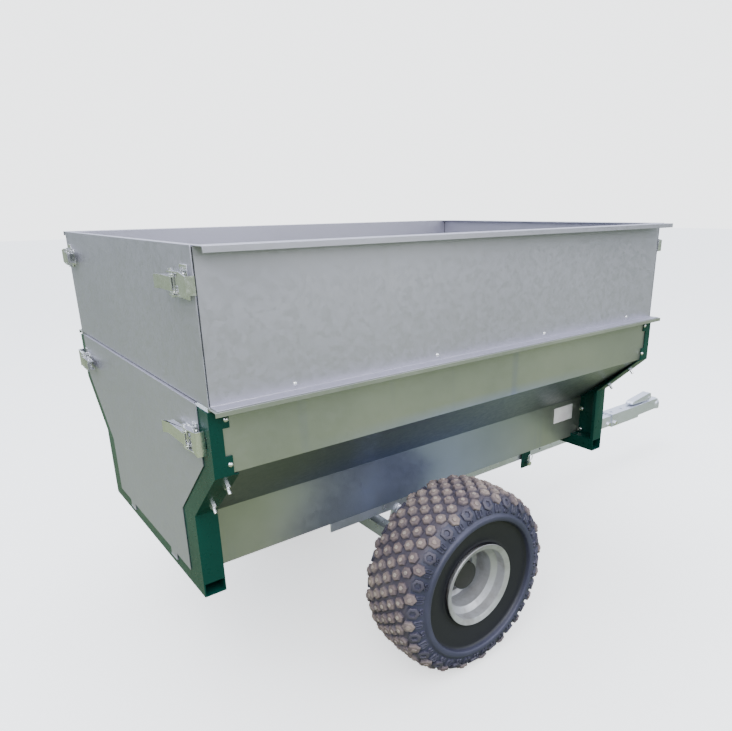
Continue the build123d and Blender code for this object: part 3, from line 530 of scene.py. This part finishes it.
dressed("rest_pad", black_plastic, PLASTIC_EDGE)

# ---- Wheels --------------------------------------------------------------------------------------
# Low-pressure knobbly tyres on two-step silver rims. The tyre is one moulding: a rounded casing
# with staggered six-sided lugs over the tread, and lugs, bars and a rubbing ring down its walls.
# The walls are blue-black rubber; the tread and the lug tops carry pale dried dust.
LUGS_AROUND = 40
LUG_RADIUS = 0.0138
LUG_PITCH = 0.0285
LUG_HEIGHT = 0.0100
CASING_STEPS = 176
RING_RADIUS = 0.181
SHOULDER_DROP = 0.028
CAP_EDGE = 0.001


def rounded(corners, cut, steps):
    """The line through corners, each inner corner turned into a parabola between two points, one
    at most cut before it and one as far after it."""
    corners = np.asarray(corners, float)
    before, at, after = corners[:-2], corners[1:-1], corners[2:]
    way_in, way_out = before - at, after - at
    long_in = np.linalg.norm(way_in, axis=1, keepdims=True)
    long_out = np.linalg.norm(way_out, axis=1, keepdims=True)
    reach = np.minimum(cut, 0.45 * np.minimum(long_in, long_out))
    first, last = at + way_in / long_in * reach, at + way_out / long_out * reach
    t = np.linspace(0, 1, steps + 1)[None, :, None]
    arcs = (1 - t) ** 2 * first[:, None] + 2 * t * (1 - t) * at[:, None] + t**2 * last[:, None]
    return np.vstack([corners[:1], arcs.reshape(-1, corners.shape[1]), corners[-1:]])


class Casing:
    """The tyre's outer section, and the map from it to space.

    The section is a closed curve of (radius, across) points by its length; a place on the tyre is
    an angle round the axle, a length along the section and a height square to the surface."""

    def __init__(self, centre, outward, section):
        self.centre, self.outward = centre, outward
        smooth = rounded(section, 0.020, 6)
        steps = np.linalg.norm(np.diff(smooth, axis=0), axis=1)
        self.length = np.concatenate([[0], np.cumsum(steps)])
        self.section = smooth
        slope = np.gradient(smooth, self.length, axis=0)
        self.square = np.stack([-slope[:, 1], slope[:, 0]], axis=1)

    def at(self, angle, along, height):
        """Points in space; the three arrays have one shape."""
        radius, across = (np.interp(along, self.length, self.section[:, i]) for i in (0, 1))
        square = [np.interp(along, self.length, self.square[:, i]) for i in (0, 1)]
        radius, across = radius + height * square[0], across + height * square[1]
        place = [radius * np.cos(angle), across * self.outward, radius * np.sin(angle)]
        return np.stack(place, axis=-1) + self.centre

    def radius_at(self, along):
        """The distance from the axle of a place along the section."""
        return np.interp(along, self.length, self.section[:, 0])

    def across_at(self, along):
        """The distance from the middle plane of a place along the section, outward positive."""
        return np.interp(along, self.length, self.section[:, 1])

    def blocks(self, angles, alongs, outline, rings, turn=0.0):
        """A raised block at every place: rings of the outline, each (scale, height), and a top.

        outline holds (round, along) offsets from the block's middle, in metres."""
        spin = np.array([[np.cos(turn), -np.sin(turn)], [np.sin(turn), np.cos(turn)]])
        flat = np.asarray(outline) @ spin.T
        scale, height = np.asarray(rings).T
        offset = scale[:, None, None] * flat[None]
        middle = np.stack([angles, alongs], axis=1)[:, None, None]
        here = offset[None] + 0 * middle
        along = middle[..., 1] + here[..., 1]
        angle = middle[..., 0] + here[..., 0] / self.radius_at(middle[..., 1])
        lift = np.broadcast_to(height[None, :, None], angle.shape)
        points = self.at(angle, along, lift)
        count, levels, sides = angle.shape
        corner = np.arange(sides)
        following = (corner + 1) % sides
        level = np.arange(levels - 1)[:, None] * sides
        above = level + sides
        quads = np.stack([level + corner, level + following, above + following, above + corner], -1)
        quads = quads.reshape(1, -1, 4) + np.arange(count)[:, None, None] * levels * sides
        return points.reshape(-1, 3), quads.reshape(-1, 4), lift.reshape(-1)


def hexagon(radius):
    """The corners of a regular hexagon, one of them pointing along the section."""
    turn = np.arange(6) / 6 * 2 * np.pi
    return np.stack([radius * np.sin(turn), radius * np.cos(turn)], axis=1)


def slotted(half_width, half_length):
    """A long outline with round ends of five points each, its length along the section."""
    turn = np.linspace(0, np.pi, 5)
    end = np.stack([half_width * np.cos(turn), half_length - half_width + half_width * np.sin(turn)], 1)
    return np.vstack([end, -end])


def tyre(side, outward):
    """One tyre: its casing, the rows of tread lugs, and the blocks, bars and ring on both walls."""
    low, high = (np.array(corner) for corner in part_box("tyre_" + side))
    centre, tall, half = (low + high) / 2, (high[2] - low[2]) / 2, (high[1] - low[1]) / 2
    crown, wall = tall - LUG_HEIGHT, half - 0.004
    right = [
        (0.104, wall - 0.032), (0.114, wall - 0.024), (0.121, wall - 0.026), (0.150, wall - 0.020),
        (0.178, wall - 0.016), (RING_RADIUS, wall - 0.002), (0.188, wall), (0.195, wall - 0.001),
        (0.199, wall - 0.007), (0.221, wall - 0.012), (0.237, wall - SHOULDER_DROP),
        (crown - 0.003, wall - 0.050),
    ]
    left = [(radius, -across) for radius, across in reversed(right)]
    casing = Casing(centre, outward, right + [(crown, 0.0)] + left)
    total = casing.length[-1]
    around = np.arange(CASING_STEPS) / CASING_STEPS * 2 * np.pi
    along = casing.length
    skin = casing.at(*np.broadcast_arrays(around[:, None], along[None], 0.0))
    surfaces = [grid(skin, wrap_rows=True)]
    tread = (np.abs(casing.across_at(along)) < wall - SHOULDER_DROP).astype(float)
    marks = [np.broadcast_to(0.25 * tread, skin.shape[:2]).ravel()]

    def add_blocks(angles, alongs, outline, rings, dust, turn=0.0):
        """Adds blocks to the tyre, their mark growing with height up to the share dust."""
        points, faces, lift = casing.blocks(angles, alongs, outline, rings, turn)
        surfaces.append((points, faces))
        marks.append(dust * np.clip(lift / LUG_HEIGHT, 0, 1.2))

    pitch = 2 * np.pi / LUGS_AROUND
    angles = np.arange(LUGS_AROUND) * pitch
    base, top = -0.002, LUG_HEIGHT - 0.0004
    tread_rings = [
        (1.12, base), (1.0, top - 0.0018), (0.84, top), (0.42, top),
        (0.34, top + 0.0022), (0.02, top + 0.0024),
    ]
    for row in range(-2, 3):
        place = np.full(LUGS_AROUND, total / 2 + row * LUG_PITCH)
        shifted, turn = angles + (row % 2) * pitch / 2, 0.3 - 0.2 * row
        add_blocks(shifted, place, hexagon(LUG_RADIUS), tread_rings, 1.0, turn)
    hollow_rings = [
        (1.08, base), (1.0, 0.0055), (0.86, 0.0066), (0.52, 0.0062), (0.42, 0.0020), (0.02, 0.0020)
    ]
    bar_rings = [
        (1.10, base), (1.0, 0.0030), (0.84, 0.0040), (0.62, 0.0040), (0.45, 0.0012), (0.02, 0.0012)
    ]
    edge = total / 2 - 3 * LUG_PITCH
    even, odd = angles[::2] + pitch / 2, angles[1::2] + pitch / 2
    for end in (0, 1):
        start, way = total * end, 1 - 2 * end
        for places, depth, outline, rings, dust in (
            (even, edge + 0.004, hexagon(0.0145), tread_rings, 0.9),
            (odd, edge - 0.005, hexagon(0.0160), hollow_rings, 0.25),
            (even + 0.17 * pitch, edge - 0.0185, slotted(0.0048, 0.0125), bar_rings, 0.1),
            (even - 0.17 * pitch, edge - 0.0185, slotted(0.0048, 0.0125), bar_rings, 0.1),
            (odd + 0.15 * pitch, edge - 0.0265, slotted(0.0040, 0.0060), bar_rings, 0.1),
            (odd - 0.15 * pitch, edge - 0.0265, slotted(0.0040, 0.0060), bar_rings, 0.1),
        ):
            add_blocks(places, np.full(LUGS_AROUND // 2, start + way * depth), outline, rings, dust)
    name, body, mark = "tyre_" + side + "_moulding", "wheel_" + side, np.concatenate(marks)
    piece = moulding(name, surfaces, tyre_rubber, body, 40, mark)
    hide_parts("tyre_" + side)


tyre_rubber, rubber_tree, rubber_shader = plain_material("tyre_rubber", (0.04, 0.036, 0.05), 0.7)
rubber_place = add(rubber_tree, "TexCoord").outputs["Object"]
raised = add(rubber_tree, "Attribute", {"attribute_name": "raised"}).outputs["Fac"]
dust_noise = add(rubber_tree, "TexNoise", Vector=rubber_place, Scale=55.0, Detail=6.0, Roughness=0.65)
patch_noise = add(rubber_tree, "TexNoise", Vector=rubber_place, Scale=9.0, Detail=3.0).outputs["Fac"]
dust_share = ramp(rubber_tree, dust_noise.outputs["Fac"], 0.3, 0.62, 0.45, 1.1)
dusty = add(rubber_tree, "Math", {"operation": "MULTIPLY"}, at0=raised, at1=dust_share).outputs[0]
rubber_shade = ramp(rubber_tree, patch_noise, 0.3, 0.7)
wall_tone = mixed(rubber_tree, rubber_shade, (0.028, 0.029, 0.056, 1), (0.050, 0.050, 0.088, 1))
dust_tone = mixed(rubber_tree, rubber_shade, (0.17, 0.125, 0.125, 1), (0.30, 0.235, 0.20, 1))
# The highest points, the nubs on the lug tops, take a paler tone still.
dust_tone = mixed(rubber_tree, ramp(rubber_tree, raised, 1.02, 1.15), dust_tone, (0.36, 0.30, 0.26, 1))
# The wall inside the rubbing ring, towards the rim, is mixed to a near black.
axle_at = np.mean(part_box("tyre_right"), axis=0)
flat = add(rubber_tree, "VectorMath", {"operation": "MULTIPLY"}, at0=rubber_place, at1=(1, 0, 1))
axle_flat = (axle_at[0], 0, axle_at[2])
out = add(rubber_tree, "VectorMath", {"operation": "DISTANCE"}, at0=flat.outputs[0], at1=axle_flat)
inner = ramp(rubber_tree, out.outputs["Value"], RING_RADIUS - 0.004, RING_RADIUS)
wall_tone = mixed(rubber_tree, inner, (0.008, 0.008, 0.014, 1), wall_tone)
rubber_tone = mixed(rubber_tree, dusty, wall_tone, dust_tone)
rubber_rough = ramp(rubber_tree, dusty, 0.0, 0.8, 0.5, 0.9)
rubber_tree.links.new(rubber_tone, rubber_shader.inputs["Base Color"])
rubber_tree.links.new(rubber_rough, rubber_shader.inputs["Roughness"])
rubber_bump = add(rubber_tree, "Bump", Strength=0.35, Distance=0.0012, Height=dust_noise.outputs["Fac"])
rubber_tree.links.new(rubber_bump.outputs["Normal"], rubber_shader.inputs["Normal"])
for side, outward in (("right", -1), ("left", 1)):
    tyre(side, outward)

rim_silver, rim_tree, rim_shader = plain_material("rim_silver", (0.42, 0.42, 0.43), 0.38)
rim_place = add(rim_tree, "TexCoord").outputs["Object"]
rim_noise = add(rim_tree, "TexNoise", Vector=rim_place, Scale=26.0, Detail=5.0, Roughness=0.6)
rim_grime = ramp(rim_tree, rim_noise.outputs["Fac"], 0.42, 0.72)
rim_tone = mixed(rim_tree, rim_grime, (0.46, 0.46, 0.48, 1), (0.30, 0.29, 0.28, 1))
rim_rough = ramp(rim_tree, rim_noise.outputs["Fac"], 0.3, 0.7, 0.32, 0.55)
rim_tree.links.new(rim_tone, rim_shader.inputs["Base Color"])
rim_tree.links.new(rim_rough, rim_shader.inputs["Roughness"])
rim_shader.inputs["Metallic"].default_value = 0.55
for side in ("right", "left"):
    for node in ("hub_", "bearings_", "wheel_studs_"):
        dressed(node + side, bright_zinc)
    dressed("hub_cap_" + side, black_plastic, CAP_EDGE)
    dressed("rim_" + side, rim_silver, SECTION_EDGE, 3)

# ---- Latches -----------------------------------------------------------------------------------
# An over-centre lever and its claw on each side of the gate and of the two end panels, in the same
# bright zinc plate as the brackets they swing on.
LATCH_EDGE = 0.0005
for panel in ("tailgate", "rear_panel", "front_panel"):
    for side in ("right", "left"):
        dressed(f"latch_lever_{panel}_{side}", bright_zinc, LATCH_EDGE)
        dressed(f"latch_claw_{panel}_{side}", bright_zinc, LATCH_EDGE)
